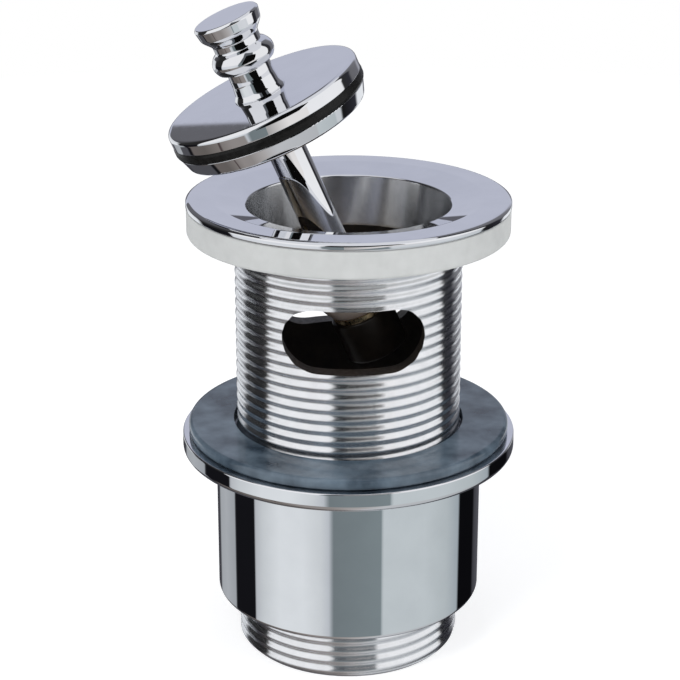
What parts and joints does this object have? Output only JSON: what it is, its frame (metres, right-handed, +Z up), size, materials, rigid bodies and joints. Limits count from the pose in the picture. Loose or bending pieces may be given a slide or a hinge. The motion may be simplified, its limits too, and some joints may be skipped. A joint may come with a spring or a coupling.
{
  "type": "basin drain plug and waste",
  "caption": "Chromed slotted basin waste with a captive plug that lifts and leans, a flange seal, and a threaded lower body that clamps upwards.",
  "frame": {"origin": "centre of the outlet thread's lower end, on which the part stands", "axes": "+Z up along the waste's axis towards the basin, -Y towards the near overflow slot, the plug leans towards -X"},
  "size_m": [0.0722, 0.071, 0.1403],
  "materials": {
    "chrome": "polished",
    "brass": "satin",
    "white_seal": "matte",
    "slate_rubber": "satin",
    "black_rubber": "satin",
    "plastic": "satin",
    "dark_plastic": "satin",
    "steel": "satin"
  },
  "bodies": {
    "waste": {"waste_body": "chrome", "guide_bridge": "brass", "flange_seal": "white_seal"},
    "swivel": {"swivel_ball": "plastic"},
    "sleeve": {"stem_sleeve": "brass"},
    "washer": {"stop_washer": "brass"},
    "plug": {"stem": "chrome", "foot": "dark_plastic", "foot_screw": "steel", "knob": "chrome", "knob_collar": "chrome", "plug_upper_disc": "chrome", "plug_o_ring": "black_rubber", "plug_lower_disc": "chrome"},
    "gasket": {"clamp_gasket": "slate_rubber"},
    "housing": {"housing": "chrome"}
  },
  "joints": [
    {"name": "plug_tilt", "type": "hinge", "parent": "waste", "child": "swivel", "pos_m": [0, 0, 0.08015], "axis": [-0.1599, 0.9871, 0], "range_deg": [0, 23.6]},
    {"name": "plug_turn", "type": "hinge", "parent": "swivel", "child": "sleeve", "pos_m": [0, 0, 0.08015], "axis": [-0.3952, -0.064, 0.9164], "continuous": true},
    {"name": "plug_lift", "type": "slide", "parent": "sleeve", "child": "washer", "axis": [0.3952, 0.064, -0.9164], "range_m": [0, 0.0211]},
    {"name": "plug_seat", "type": "slide", "parent": "washer", "child": "plug", "axis": [0.3952, 0.064, -0.9164], "range_m": [0, 0.007]},
    {"name": "housing_rise", "type": "slide", "parent": "waste", "child": "gasket", "axis": [0, 0, 1], "range_m": [-0.007, 0.0165]},
    {"name": "housing_screw", "type": "hinge", "parent": "gasket", "child": "housing", "pos_m": [0, 0, 0.03], "axis": [0, 0, 1], "range_deg": [-1080, 2520]}
  ],
  "couplings": [
    {"joint": "plug_lift", "follows": "plug_tilt", "m_per_rad": 0.05098},
    {"joint": "housing_rise", "follows": "housing_screw", "m_per_rad": 0.00036749}
  ]
}
